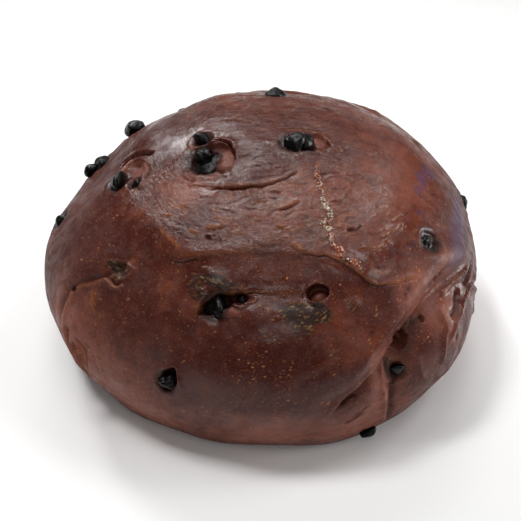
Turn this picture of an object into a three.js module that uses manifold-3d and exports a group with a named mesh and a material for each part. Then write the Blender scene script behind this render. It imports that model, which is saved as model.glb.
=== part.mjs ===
// Chocolate bread: one round, soft-crusted bun, baked free-standing, with chocolate chips in its skin.
// The crumb and its chips are one solid. Millimetres, +Z up. The origin is the middle of the flat base,
// and the front of the bun faces -Y.
//
// A place on the bun is a bearing and a height angle, in degrees, seen from a point on its axis at
// belly height: bearing 0 is the front, 90 the right (+X), 180 the back; height 0 is level, 90 the top.

import * as THREE from 'three';
import { mergeVertices } from 'three/addons/utils/BufferGeometryUtils.js';
import Module from 'manifold-3d';

// ---- Driving dimensions -------------------------------------------------------------------------

const WIDTH = 125; // across the belly, left to right
const DEPTH = 122; // across the belly, front to back
const HEIGHT = 65; // base to crown
const BELLY_HEIGHT = 22; // where the bun is widest
const BASE_SHARE = 0.88; // the base's radius as a share of the belly's
const CROWN_LEAN = 4; // how far the crown has slumped to the right
const CHIP_WIDTH = 7; // a chocolate chip across its flat side
const CHIP_HEIGHT = 5; // a chocolate chip from flat side to tip

// ---- Character of the outline -------------------------------------------------------------------

const UPPER_POWER = 1.95; // 2 is an ellipse; less is a little more pointed
const LOWER_POWER = 1.8;
const THREE_LOBES = { share: 0.018, bearing: 46 }; // uneven plan, as dough spreads
const FOUR_LOBES = { share: 0.009, bearing: 29 };
const BASE_ROUNDING = 3; // how softly the side turns into the base
const CORE_DETAIL = 16; // splits of each icosahedron edge
const BASE_DETAIL_ANGLE = -62; // the part of the starting ball below this angle becomes the flat base
const LUMP_HEIGHT = 0.5;
const LUMP_LENGTH = 34; // distance between the dough's slow lumps

const RAD = Math.PI / 180;
const CENTRE = new THREE.Vector3(0, 0, BELLY_HEIGHT);
const BASE_EDGE_ANGLE = -Math.atan2(BELLY_HEIGHT, (BASE_SHARE * WIDTH) / 2) / RAD;

// ---- The plain form of the bun ------------------------------------------------------------------

function direction(bearing, height) {
  return new THREE.Vector3(
    Math.cos(height * RAD) * Math.sin(bearing * RAD),
    -Math.cos(height * RAD) * Math.cos(bearing * RAD),
    Math.sin(height * RAD),
  );
}

function lobe({ share, bearing }, count, at) {
  return share * Math.cos(count * (at - bearing * RAD));
}

// The plan radius at belly height: an ellipse with slow lobes.
function planRadius(bearing) {
  const ellipse = 1 / Math.hypot(Math.sin(bearing) / (WIDTH / 2), Math.cos(bearing) / (DEPTH / 2));
  return ellipse * (1 + lobe(THREE_LOBES, 3, bearing) + lobe(FOUR_LOBES, 4, bearing));
}

function softMinimum(a, b, blend) {
  const h = Math.max(blend - Math.abs(a - b), 0) / blend;
  return Math.min(a, b) - (h * h * blend) / 4;
}

// Distance from the centre to the skin, along a direction: a superellipse above and below the belly.
function formRadius(unit) {
  const level = Math.hypot(unit.x, unit.y);
  const radius = planRadius(Math.atan2(unit.x, -unit.y));
  const power = unit.z >= 0 ? UPPER_POWER : LOWER_POWER;
  const underside = BELLY_HEIGHT / (1 - BASE_SHARE ** LOWER_POWER) ** (1 / LOWER_POWER);
  const reach = unit.z >= 0 ? HEIGHT - BELLY_HEIGHT : underside;
  return 1 / ((level / radius) ** power + (Math.abs(unit.z) / reach) ** power) ** (1 / power);
}

function formPoint(unit) {
  return unit.clone().multiplyScalar(formRadius(unit)).add(CENTRE);
}

// ---- Relief: swells, folds and ledges of the skin -----------------------------------------------

// height is out from the skin, and reach is how far the swell spreads.
const SWELLS = [
  { at: [-3, 17], height: 1.6, reach: 20 }, // the smooth front, under the split
  { at: [52, 4], height: 2.2, reach: 15 }, // the lobe on the lower right
  { at: [-56, 6], height: 1.0, reach: 12 }, // the lower left corner
  { at: [-88, 57], height: -2.4, reach: 11 }, // the sunken ground round the crown pit
  { at: [-93, 38], height: -1.2, reach: 9 },
  { at: [86, 80], height: -0.8, reach: 8 },
  { at: [-92, 4], height: 1.8, reach: 16 }, // the left side, full at the belly and drawn in above
  { at: [-98, 22], height: -1.4, reach: 16 },
  { at: [-122, 36], height: 0.9, reach: 16 },
  { at: [-72, -10], height: -0.9, reach: 16 },
  { at: [-150, 44], height: 1.2, reach: 16 },
  { at: [176, 46], height: -0.6, reach: 16 },
  { at: [150, 22], height: 1.4, reach: 20 }, // the back, baked unevenly like the front
  { at: [-150, 20], height: -1.2, reach: 16 },
];

// A fold runs along a path of places. height below 0 is a groove, above 0 a ridge.
const FOLDS = [
  { path: [[-22, 23], [-17, 28], [-10, 31], [0, 31], [10, 31], [17, 30]], height: -1.6, width: 3.0 },
  { path: [[86, 13], [62, 23], [49, 23], [37, 20], [27, 13], [16, 6]], height: 1.5, width: 4.5 },
  { path: [[72, 16], [54, 18], [46, 17], [37, 13], [33, 7], [32, -18]], height: -4.0, width: 5.0 },
  { path: [[31, 15], [26, 9], [20, 4], [12, 2]], height: -1.0, width: 2.8 },
  { path: [[-42, 62], [-24, 67], [3, 73], [32, 74]], height: -0.8, width: 2.6 },
  { path: [[-22, 22], [-25, 15], [-30, 7], [-34, -6]], height: -1.0, width: 5.5 },
  { path: [[78, 4], [66, 8], [58, 4], [54, -8]], height: -1.2, width: 3.2 },
  { path: [[118, -2], [128, 8], [144, 12], [160, 6]], height: -2.0, width: 4.0 },
  { path: [[-160, 34], [-138, 26], [-122, 6], [-118, -14]], height: -2.0, width: 4.5 },
];

// A ledge is a step: the skin above the path stands out, and the skin below it is drawn in.
const LEDGES = [
  {
    path: [[-50, 28], [-37, 34], [-24, 39], [-2, 43], [14, 39.5], [24, 34], [31, 29], [42, 25.5]],
    out: 1.3, drawn: 0.5, width: 2.4, reach: 9,
  },
  { path: [[-66, 6], [-62, 13], [-59, 22], [-53, 30]], out: 0.6, drawn: 1.2, width: 2.4, reach: 7 },
  { path: [[-168, 36], [170, 30], [148, 26], [124, 33]], out: 0.7, drawn: 1.4, width: 2.6, reach: 9 },
];

const PATH_SAMPLES = 24;

function pathPoints(path) {
  const corners = path.map(([bearing, height]) => formPoint(direction(bearing, height)));
  return new THREE.CatmullRomCurve3(corners).getPoints(PATH_SAMPLES);
}

// How far a point lies from a path, on which side (1 is above), and how far along, from 0 to 1.
function nearPath(point, points) {
  let best = { distance: Infinity, side: 1, along: 0 };
  for (let i = 0; i < points.length - 1; i++) {
    const run = points[i + 1].clone().sub(points[i]);
    const from = point.clone().sub(points[i]);
    const share = THREE.MathUtils.clamp(from.dot(run) / run.lengthSq(), 0, 1);
    const gap = from.clone().addScaledVector(run, -share);
    if (gap.length() >= best.distance) continue;
    const outward = points[i].clone().sub(CENTRE);
    const side = Math.sign(outward.cross(run).dot(gap)) || 1;
    best = { distance: gap.length(), side, along: (i + share) / (points.length - 1) };
  }
  return best;
}

// Folds and ledges die away at both ends.
function taper(along) {
  const END = 0.22;
  return THREE.MathUtils.smoothstep(along, 0, END) * THREE.MathUtils.smoothstep(1 - along, 0, END);
}

const swells = SWELLS.map((s) => ({ ...s, centre: formPoint(direction(...s.at)) }));
const folds = FOLDS.map((f) => ({ ...f, points: pathPoints(f.path) }));
const ledges = LEDGES.map((l) => ({ ...l, points: pathPoints(l.path) }));

function relief(point) {
  let height = 0;
  for (const s of swells) {
    height += s.height * Math.exp(-((point.distanceTo(s.centre) / s.reach) ** 2));
  }
  for (const f of folds) {
    const { distance, along } = nearPath(point, f.points);
    height += f.height * taper(along) * Math.exp(-((distance / f.width) ** 2));
  }
  for (const l of ledges) {
    const { distance, side, along } = nearPath(point, l.points);
    const step = Math.tanh((side * distance) / l.width);
    const size = side > 0 ? l.out : l.drawn;
    height += size * step * taper(along) * Math.exp(-((distance / l.reach) ** 2));
  }
  const wave = (2 * Math.PI) / LUMP_LENGTH;
  const lumps = Math.sin(point.x * wave + 1) * Math.sin(point.y * wave + 2) * Math.cos(point.z * wave);
  return height + LUMP_HEIGHT * lumps;
}

// The skin along a direction: form and relief, cut off by the flat base, then slumped to the right.
function skinPoint(unit) {
  const form = formPoint(unit);
  const reach = form.distanceTo(CENTRE) + relief(form);
  const toBase = unit.z < 0 ? BELLY_HEIGHT / -unit.z : Infinity;
  const flat = toBase < reach - BASE_ROUNDING;
  const length = toBase === Infinity ? reach : softMinimum(reach, toBase, BASE_ROUNDING);
  const point = unit.clone().multiplyScalar(flat ? toBase : length).add(CENTRE);
  if (flat) point.z = 0;
  point.x += CROWN_LEAN * (point.z / HEIGHT) ** 2;
  return point;
}

// The skin's point at a place, with the directions out, uphill and along the bearing there.
function station(bearing, height) {
  const STEP = 1.5;
  const origin = skinPoint(direction(bearing, height));
  const above = skinPoint(direction(bearing, height + STEP));
  const beside = skinPoint(direction(bearing + STEP, height));
  const uphill = above.sub(origin).normalize();
  const out = beside.sub(origin).cross(uphill).normalize();
  const across = uphill.clone().cross(out).normalize();
  return { origin, out, uphill, across };
}

// ---- Closed meshes ------------------------------------------------------------------------------

function closed(geometry) {
  geometry.deleteAttribute('normal');
  geometry.deleteAttribute('uv');
  return mergeVertices(geometry, 1e-4);
}

// A ball whose lowest cap has been gathered in, so that few faces are spent on the flat base.
function crumbGeometry() {
  const geometry = closed(new THREE.IcosahedronGeometry(1, CORE_DETAIL));
  const places = geometry.attributes.position;
  for (let i = 0; i < places.count; i++) {
    const unit = new THREE.Vector3().fromBufferAttribute(places, i).normalize();
    const bearing = Math.atan2(unit.x, -unit.y) / RAD;
    const raw = Math.asin(THREE.MathUtils.clamp(unit.z, -1, 1)) / RAD;
    const [low, high, from, to] = raw < BASE_DETAIL_ANGLE
      ? [-90, BASE_DETAIL_ANGLE, -90, BASE_EDGE_ANGLE]
      : [BASE_DETAIL_ANGLE, 90, BASE_EDGE_ANGLE, 90];
    const height = THREE.MathUtils.mapLinear(raw, low, high, from, to);
    const point = skinPoint(direction(bearing, height));
    places.setXYZ(i, point.x, point.y, point.z);
  }
  return geometry;
}

// A chip is a drop: flat side down at z = 0, tip up.
function chipGeometry() {
  const SIDES = 8;
  const outline = [[0, 0], [0.42, 0], [0.5, 0.16], [0.4, 0.45], [0.2, 0.74], [0, 1]];
  const points = outline.map(([r, h]) => new THREE.Vector2(r * CHIP_WIDTH, h * CHIP_HEIGHT));
  return closed(new THREE.LatheGeometry(points, SIDES).rotateX(Math.PI / 2));
}

function hollowGeometry() {
  return closed(new THREE.IcosahedronGeometry(0.5, 1));
}

// ---- Chips and hollows, by place ----------------------------------------------------------------

// out: how far the chip's flat side stands out of the skin. tip: degrees the tip leans from straight
// out. toward: which way it leans, clockwise from uphill. size: share of a whole chip.
const CHIPS = [
  { at: [179, 45], out: -1.6, tip: 12, toward: 0, size: 0.92 }, // front half, crown first
  { at: [-107, 61.5], out: -1.9, tip: 76, toward: 300, size: 0.78 },
  { at: [-89, 62.8], out: -2.2, tip: 50, toward: 40, size: 0.82 },
  { at: [-83.5, 62.4], out: -1.8, tip: 170, toward: 0, size: 1.5 },
  { at: [85.6, 84.4], out: -2.2, tip: 60, toward: 350, size: 1.1 },
  { at: [85.5, 80], out: -1.8, tip: 74, toward: 245, size: 0.85 },
  { at: [-126, 27], out: -0.8, tip: 74, toward: 60, size: 0.9 },
  { at: [-110, 18], out: -0.9, tip: 30, toward: 270, size: 0.8 },
  { at: [-111.3, 21.5], out: -1.8, tip: 50, toward: 60, size: 0.8 },
  { at: [-88, 35], out: -2.0, tip: 76, toward: 192, size: 0.95 },
  { at: [-82, 40.5], out: -3.0, tip: 70, toward: 190, size: 0.6 },
  { at: [-92, 13], out: -3.6, tip: 74, toward: 20, size: 0.95 },
  { at: [-17.5, 27], out: -3.9, tip: 80, toward: 246, size: 1.1 },
  { at: [-10.5, 30.2], out: -3.0, tip: 60, toward: 250, size: 0.55 },
  { at: [-26, 4.4], out: -3.7, tip: 78, toward: 12, size: 0.95 },
  { at: [61, 29.5], out: -4.8, tip: 66, toward: 170, size: 0.95 },
  { at: [101, 12], out: -2.8, tip: 30, toward: 0, size: 0.8 },
  { at: [71, -1], out: -2.6, tip: 30, toward: 150, size: 0.7 },
  { at: [35, 4.6], out: -3.0, tip: 74, toward: 186, size: 0.65 },
  { at: [30, -18], out: -1.5, tip: 60, toward: 150, size: 0.64 },
  { at: [148, -8], out: -1.8, tip: 50, toward: 80, size: 1.0 }, // back half
  { at: [-170, 22], out: -2.2, tip: 30, toward: 200, size: 0.9 },
  { at: [-150, 18], out: -2.2, tip: 60, toward: 120, size: 0.95 },
  { at: [172, 9], out: -2.4, tip: 60, toward: 240, size: 1.0 },
  { at: [133, -4], out: -1.8, tip: 50, toward: 30, size: 0.85 },
  { at: [121, 2], out: -2.2, tip: 66, toward: 320, size: 0.95 },
  { at: [-140, 2], out: -2.0, tip: 60, toward: 100, size: 0.9 },
  { at: [-163, -8], out: -2.4, tip: 70, toward: 70, size: 0.9 },
  { at: [112, -10], out: -2.2, tip: 40, toward: 210, size: 0.75 },
];

// size: length, breadth and depth. turn: degrees the length is turned from level, clockwise.
// sink: how far the hollow's middle lies under the skin.
const HOLLOWS = [
  { at: [-78, 66.2], size: [14.2, 12.4, 5], turn: 0, sink: 0.4 }, // the crown pit
  { at: [97, 78.5], size: [12.8, 8.6, 4.4], turn: -68, sink: 0.5 },
  { at: [-103, 39], size: [10, 3.2, 5], turn: -55, sink: 0.8 },
  { at: [-16, 28.5], size: [13, 3.8, 7], turn: -24, sink: 1.4 }, // the split with chips
  { at: [14.5, 31], size: [6.6, 5.6, 7], turn: 0, sink: 1.6 }, // the burst bubble
  { at: [-26, 5], size: [5, 8.5, 6], turn: 20, sink: 1.0 },
  { at: [-56, -4], size: [2.6, 15, 6], turn: -22, sink: 0.6 }, // the long slit low on the left
  { at: [36.5, 13], size: [4.6, 5.6, 5], turn: 20, sink: 1.2 },
  { at: [61, 28], size: [4.6, 7.5, 4], turn: -14, sink: 0.7 },
  { at: [171, 9.5], size: [11, 4, 6], turn: 20, sink: 1.0 }, // back half
  { at: [-150, 18], size: [10, 6.5, 5], turn: 30, sink: 0.6 },
  { at: [121, 3], size: [6, 7, 5], turn: -20, sink: 0.9 },
  { at: [150, 12], size: [6, 5.6, 6], turn: 0, sink: 1.2 },
];

function chipPlacing({ at, out, tip, toward, size }) {
  const { origin, out: outward, uphill, across } = station(...at);
  const leaning = uphill.clone().multiplyScalar(Math.cos(toward * RAD))
    .addScaledVector(across, Math.sin(toward * RAD));
  const axis = outward.clone().multiplyScalar(Math.cos(tip * RAD))
    .addScaledVector(leaning, Math.sin(tip * RAD)).normalize();
  const turn = new THREE.Quaternion().setFromUnitVectors(new THREE.Vector3(0, 0, 1), axis);
  // A lying chip is held by its side, so its middle is kept on the skin whatever way it leans.
  const middle = axis.clone().multiplyScalar(-0.4 * CHIP_HEIGHT * size * Math.sin(tip * RAD));
  const foot = origin.clone().addScaledVector(outward, out + 0.4 * CHIP_HEIGHT * Math.sin(tip * RAD));
  return new THREE.Matrix4().compose(foot.add(middle), turn, new THREE.Vector3(size, size, size));
}

function hollowPlacing({ at, size, turn, sink }) {
  const { origin, out, uphill, across } = station(...at);
  const along = across.clone().multiplyScalar(Math.cos(turn * RAD))
    .addScaledVector(uphill, -Math.sin(turn * RAD));
  const breadth = out.clone().cross(along).normalize();
  const centre = origin.clone().addScaledVector(out, -sink);
  return new THREE.Matrix4().makeBasis(along, breadth, out).scale(new THREE.Vector3(...size))
    .setPosition(centre);
}

// ---- Joining ------------------------------------------------------------------------------------

const wasm = await Module();
wasm.setup();

function solidOf(geometry, placing = new THREE.Matrix4()) {
  const placed = geometry.clone().applyMatrix4(placing);
  const mesh = new wasm.Mesh({
    numProp: 3,
    vertProperties: new Float32Array(placed.attributes.position.array),
    triVerts: new Uint32Array(placed.index.array),
  });
  return new wasm.Manifold(mesh);
}

function geometryOf(solid) {
  const mesh = solid.getMesh();
  const geometry = new THREE.BufferGeometry();
  geometry.setAttribute('position', new THREE.BufferAttribute(mesh.vertProperties, 3));
  geometry.setIndex(new THREE.BufferAttribute(mesh.triVerts, 1));
  geometry.computeVertexNormals();
  return geometry;
}

const chip = chipGeometry();
const hollow = hollowGeometry();
let bread = solidOf(crumbGeometry());
for (const place of HOLLOWS) bread = bread.subtract(solidOf(hollow, hollowPlacing(place)));
for (const place of CHIPS) bread = bread.add(solidOf(chip, chipPlacing(place)));

// ---- The model ----------------------------------------------------------------------------------

const crust = new THREE.MeshStandardMaterial({ color: '#5f3328', roughness: 0.42, metalness: 0 });
const mesh = new THREE.Mesh(geometryOf(bread), crust);
mesh.name = 'chocolate_bread';

const group = new THREE.Group();
group.add(mesh);

export default group;
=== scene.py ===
# %% [markdown]
# # A chocolate bread
# A round chocolate bun, baked free-standing. Its thin skin is glossy and folded, chocolate chips lie in
# it and under it, and a streak of baked syrup with sugar grains runs over its front. This lesson
# models the bun as one fine skin, shaped in code by the same few sizes that its solid is made from,
# and then adds the chips, the syrup and the sugar.

import math

import bmesh
import bpy
import numpy as np
from mathutils import Matrix, Vector, noise
from mathutils.kdtree import KDTree


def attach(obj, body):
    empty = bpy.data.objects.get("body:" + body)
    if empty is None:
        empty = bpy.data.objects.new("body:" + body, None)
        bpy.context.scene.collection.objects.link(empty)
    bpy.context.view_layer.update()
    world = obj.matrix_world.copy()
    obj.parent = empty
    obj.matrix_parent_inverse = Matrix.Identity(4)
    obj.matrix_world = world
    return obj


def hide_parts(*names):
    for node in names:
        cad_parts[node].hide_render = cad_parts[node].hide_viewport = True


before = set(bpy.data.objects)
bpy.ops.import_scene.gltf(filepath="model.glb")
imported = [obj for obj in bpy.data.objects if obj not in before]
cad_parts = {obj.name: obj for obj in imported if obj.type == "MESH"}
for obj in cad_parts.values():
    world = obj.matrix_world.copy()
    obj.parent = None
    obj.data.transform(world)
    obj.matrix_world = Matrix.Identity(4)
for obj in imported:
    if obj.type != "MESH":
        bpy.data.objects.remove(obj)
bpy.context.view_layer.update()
BREAD_NODE = "chocolate_bread"

# %% [markdown]
# ## The form, as numbers
# Dough that rises in the open becomes a squashed ball with a flat base. A place on it is given by a
# bearing and a height angle, seen from a point on its axis at belly height: bearing 0 is the front,
# 90 the right and 180 the back. All lengths below are millimetres, as in the part's own source, and
# only the finished mesh is turned to metres.

# %% The sizes of the bun
WIDTH, DEPTH, HEIGHT = 125.0, 122.0, 65.0
BELLY_HEIGHT = 22.0
BASE_SHARE = 0.88
CROWN_LEAN = 4.0
UPPER_POWER, LOWER_POWER = 1.95, 1.8
THREE_LOBES = (0.018, 46.0)
FOUR_LOBES = (0.009, 29.0)
BASE_ROUNDING = 3.0
LUMP_HEIGHT, LUMP_LENGTH = 0.5, 34.0
CHIP_WIDTH, CHIP_HEIGHT = 7.0, 5.0
MM = 0.001
CENTRE = np.array([0.0, 0.0, BELLY_HEIGHT])
BASE_EDGE_ANGLE = -math.degrees(math.atan2(BELLY_HEIGHT, BASE_SHARE * WIDTH / 2))


def direction(bearing, height):
    """Unit vectors from the centre towards places on the bun."""
    b, h = np.radians(np.asarray(bearing, float)), np.radians(np.asarray(height, float))
    return np.stack([np.cos(h) * np.sin(b), -np.cos(h) * np.cos(b), np.sin(h) + 0 * b], axis=-1)


def form_point(unit):
    """The plain form: a superellipse in profile, and an ellipse with slow lobes in plan."""
    level = np.hypot(unit[..., 0], unit[..., 1])
    bearing = np.arctan2(unit[..., 0], -unit[..., 1])
    radius = 1 / np.hypot(np.sin(bearing) / (WIDTH / 2), np.cos(bearing) / (DEPTH / 2))
    radius *= (1 + THREE_LOBES[0] * np.cos(3 * (bearing - math.radians(THREE_LOBES[1])))
               + FOUR_LOBES[0] * np.cos(4 * (bearing - math.radians(FOUR_LOBES[1]))))
    above = unit[..., 2] >= 0
    underside = BELLY_HEIGHT / (1 - BASE_SHARE ** LOWER_POWER) ** (1 / LOWER_POWER)
    power = np.where(above, UPPER_POWER, LOWER_POWER)
    reach = np.where(above, HEIGHT - BELLY_HEIGHT, underside)
    length = 1 / ((level / radius) ** power + (np.abs(unit[..., 2]) / reach) ** power) ** (1 / power)
    return unit * length[..., None] + CENTRE


print("crown at", form_point(direction(0, 90)).round(1), "base edge at", round(BASE_EDGE_ANGLE, 1), "degrees")

# %% [markdown]
# ## Swells, folds and ledges
# The dough was folded when it was shaped, and the folds opened in the oven. A swell lifts or sinks the
# skin round one place. A fold is a groove or a ridge along a path. A ledge is a step: the skin above
# its path stands out, and the skin below is drawn in. These are the same forms as in the part's solid.

# %% The big forms of the skin
SWELLS = [  # place, height, reach
    ((-3, 17), 1.6, 20), ((52, 4), 2.2, 15), ((-56, 6), 1.0, 12), ((-88, 57), -2.4, 11),
    ((-93, 38), -1.2, 9), ((86, 80), -0.8, 8), ((-92, 4), 1.8, 16), ((-98, 22), -1.4, 16),
    ((-122, 36), 0.9, 16), ((-72, -10), -0.9, 16), ((-150, 44), 1.2, 16), ((176, 46), -0.6, 16),
    ((150, 22), 1.4, 20), ((-150, 20), -1.2, 16),
]
FOLDS = [  # path, height, width
    ([(-22, 23), (-17, 28), (-10, 31), (0, 31), (10, 31), (17, 30)], -1.6, 3.0),
    ([(86, 13), (62, 23), (49, 23), (37, 20), (27, 13), (16, 6)], 1.5, 4.5),
    ([(72, 16), (54, 18), (46, 17), (37, 13), (33, 7), (32, -18)], -4.0, 5.0),
    ([(31, 15), (26, 9), (20, 4), (12, 2)], -1.0, 2.8),
    ([(-42, 62), (-24, 67), (3, 73), (32, 74)], -0.8, 2.6),
    ([(-22, 22), (-25, 15), (-30, 7), (-34, -6)], -1.0, 5.5),
    ([(78, 4), (66, 8), (58, 4), (54, -8)], -1.2, 3.2),
    ([(118, -2), (128, 8), (144, 12), (160, 6)], -2.0, 4.0),
    ([(-160, 34), (-138, 26), (-122, 6), (-118, -14)], -2.0, 4.5),
]
LEDGES = [  # path, out, drawn in, width, reach
    ([(-50, 28), (-37, 34), (-24, 39), (-2, 43), (14, 39.5), (24, 34), (31, 29), (42, 25.5)],
     1.3, 0.5, 2.4, 9),
    ([(-66, 6), (-62, 13), (-59, 22), (-53, 30)], 0.6, 1.2, 2.4, 7),
    ([(-168, 36), (170, 30), (148, 26), (124, 33)], 0.7, 1.4, 2.6, 9),
]
PATH_SAMPLES = 24


def smooth_path(corners, samples=PATH_SAMPLES):
    """A rounded path through some corner points."""
    corners = np.asarray(corners, float)
    ends = np.vstack([2 * corners[0] - corners[1], corners, 2 * corners[-1] - corners[-2]])
    points = []
    for k in range(samples + 1):
        t = (len(corners) - 1) * k / samples
        i = min(int(t), len(corners) - 2)
        before, start, finish, after = ends[i:i + 4]
        w = t - i
        points.append(0.5 * (2 * start + (finish - before) * w
                             + (2 * before - 5 * start + 4 * finish - after) * w ** 2
                             + (3 * start - before - 3 * finish + after) * w ** 3))
    return np.array(points)


def near_path(points, path, limit):
    """Distance from a path, side (+1 is left), how far along it from 0 to 1, and the way to its left."""
    distance, side = np.full(len(points), 1e3), np.ones(len(points))
    along, left = np.zeros(len(points)), np.zeros((len(points), 3))
    close = np.all((points > path.min(0) - limit) & (points < path.max(0) + limit), axis=1)
    inside = points[close]
    best, best_side, best_along, best_left = distance[close], side[close], along[close], left[close]
    for i in range(len(path) - 1):
        run = path[i + 1] - path[i]
        offset = inside - path[i]
        share = np.clip(offset @ run / (run @ run), 0, 1)
        gap = offset - share[:, None] * run
        length = np.linalg.norm(gap, axis=1)
        to_left = np.cross(path[i] - CENTRE, run)
        nearer = length < best
        best[nearer], best_side[nearer] = length[nearer], np.sign(gap[nearer] @ to_left)
        best_along[nearer] = (i + share[nearer]) / (len(path) - 1)
        best_left[nearer] = to_left / np.linalg.norm(to_left)
    distance[close], side[close], along[close], left[close] = best, best_side, best_along, best_left
    return distance, side, along, left


def smoothstep(value, low, high):
    share = np.clip((value - low) / (high - low), 0, 1)
    return share * share * (3 - 2 * share)


def taper(along, end=0.22):
    """Folds die away at both ends."""
    return smoothstep(along, 0, end) * smoothstep(1 - along, 0, end)


def bell(distance, width):
    return np.exp(-(distance / width) ** 2)


def relief(points):
    """Height of the big forms over the plain form."""
    height = np.zeros(len(points))
    for place, lift, reach in SWELLS:
        height += lift * bell(np.linalg.norm(points - form_point(direction(*place)), axis=1), reach)
    for places, lift, width in FOLDS:
        distance, _, along, _ = near_path(points, smooth_path(form_point(direction(*zip(*places)))), 3 * width)
        height += lift * taper(along) * bell(distance, width)
    for places, out, drawn, width, reach in LEDGES:
        path = smooth_path(form_point(direction(*zip(*places))))
        distance, side, along, _ = near_path(points, path, 3 * reach)
        size = np.where(side > 0, out, drawn)
        height += size * np.tanh(side * distance / width) * taper(along) * bell(distance, reach)
    wave = 2 * math.pi / LUMP_LENGTH
    x, y, z = points.T
    return height + LUMP_HEIGHT * np.sin(x * wave + 1) * np.sin(y * wave + 2) * np.cos(z * wave)


def skin(unit):
    """Points of the skin: form and big relief, cut by the flat base, slumped to the right."""
    form = form_point(unit)
    reach = np.linalg.norm(form - CENTRE, axis=1) + relief(form)
    to_base = np.where(unit[:, 2] < 0, BELLY_HEIGHT / np.maximum(-unit[:, 2], 1e-9), 1e6)
    blend = np.maximum(BASE_ROUNDING - np.abs(reach - to_base), 0) / BASE_ROUNDING
    rounded = np.minimum(reach, to_base) - blend ** 2 * BASE_ROUNDING / 4
    flat = to_base < reach - BASE_ROUNDING
    points = unit * np.where(flat, to_base, rounded)[:, None] + CENTRE
    points[flat, 2] = 0
    points[:, 0] += CROWN_LEAN * (points[:, 2] / HEIGHT) ** 2
    return points


def station(bearing, height, step=1.5):
    """A place on the skin with its axes: outward, uphill and across (towards rising bearings)."""
    places = np.array([(bearing, height), (bearing, height + step), (bearing + step, height)])
    origin, above, beside = skin(direction(places[:, 0], places[:, 1]))
    uphill = (above - origin) / np.linalg.norm(above - origin)
    outward = np.cross(beside - origin, uphill)
    outward /= np.linalg.norm(outward)
    return origin, outward, uphill, np.cross(uphill, outward)


print("the front of the bun is at", station(0, 0)[0].round(1))

# %% [markdown]
# ## A ball of even squares
# The skin has to be fine enough for wrinkles, and finer still round holes and splits. A cube that is
# subdivided and rounded gives even squares with no pole. Its lowest cap becomes the flat base, where
# nothing shows, so the mesh is gathered there. Then the faces near each fine feature are selected
# and subdivided again, as a sculptor would.

# %% Working in Blender's modes
def deselect_all():
    if bpy.context.object and bpy.context.object.mode != "OBJECT":
        bpy.ops.object.mode_set(mode="OBJECT")
    bpy.ops.object.select_all(action="DESELECT")


def only(piece):
    deselect_all()
    piece.select_set(True)
    bpy.context.view_layer.objects.active = piece


def vertices_of(piece):
    flat = np.empty(len(piece.data.vertices) * 3)
    piece.data.vertices.foreach_get("co", flat)
    return flat.reshape(-1, 3)


def move_vertices(piece, points):
    piece.data.vertices.foreach_set("co", np.asarray(points, float).ravel())
    piece.data.update()


def copy_of(piece, points_mm):
    """A copy with its own mesh, moved to the given points."""
    copy = piece.copy()
    copy.data = piece.data.copy()
    bpy.context.collection.objects.link(copy)
    move_vertices(copy, points_mm * MM)
    return copy


def joined(pieces, name):
    """Many objects made into one."""
    deselect_all()
    for piece in pieces:
        piece.select_set(True)
    bpy.context.view_layer.objects.active = pieces[0]
    bpy.ops.object.join()
    pieces[0].name = name
    return pieces[0]


def subdivide_faces(piece, wanted):
    """Subdivides the faces whose flags are set."""
    only(piece)
    bpy.context.tool_settings.mesh_select_mode = (False, False, True)
    mesh = piece.data
    mesh.vertices.foreach_set("select", np.zeros(len(mesh.vertices), bool))
    mesh.edges.foreach_set("select", np.zeros(len(mesh.edges), bool))
    mesh.polygons.foreach_set("select", wanted)
    bpy.ops.object.mode_set(mode="EDIT")
    bpy.ops.mesh.subdivide(number_cuts=1)
    bpy.ops.object.mode_set(mode="OBJECT")


# %% The ball
SQUARES = 76
BASE_CAP_ANGLE = -58.0

deselect_all()
bpy.ops.mesh.primitive_cube_add(size=2)
crust = bpy.context.object
crust.name = "crust"
bpy.ops.object.mode_set(mode="EDIT")
bpy.ops.mesh.subdivide(number_cuts=SQUARES - 1)
bpy.ops.object.mode_set(mode="OBJECT")
# Spacing the rows by equal angles keeps the squares even from the middle of a side to its corners.
ball = np.tan(vertices_of(crust) * math.pi / 4)
move_vertices(crust, ball / np.linalg.norm(ball, axis=1)[:, None])


def bun_direction(ball_points):
    """The ball's own height angles, stretched so that its lowest cap becomes the flat base."""
    unit = ball_points / np.linalg.norm(ball_points, axis=1)[:, None]
    bearing = np.degrees(np.arctan2(unit[:, 0], -unit[:, 1]))
    raw = np.degrees(np.arcsin(np.clip(unit[:, 2], -1, 1)))
    height = np.interp(raw, [-90, BASE_CAP_ANGLE, 90], [-90, BASE_EDGE_ANGLE, 90])
    return direction(bearing, height)


print("the ball has", len(crust.data.polygons), "squares")

# %% [markdown]
# ## What lies in the skin
# Chips burst the skin as they came up through it, so each lies in a torn hollow. The crumb inside is
# redder and duller than the skin. Steam left a burst bubble, slits and short wrinkles. Each kind is a list
# of places with a few sizes. The hollows and chips are those of the solid, with finer edges. A path is
# named so that its raised lip is on the left hand of someone who walks along it.

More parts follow.
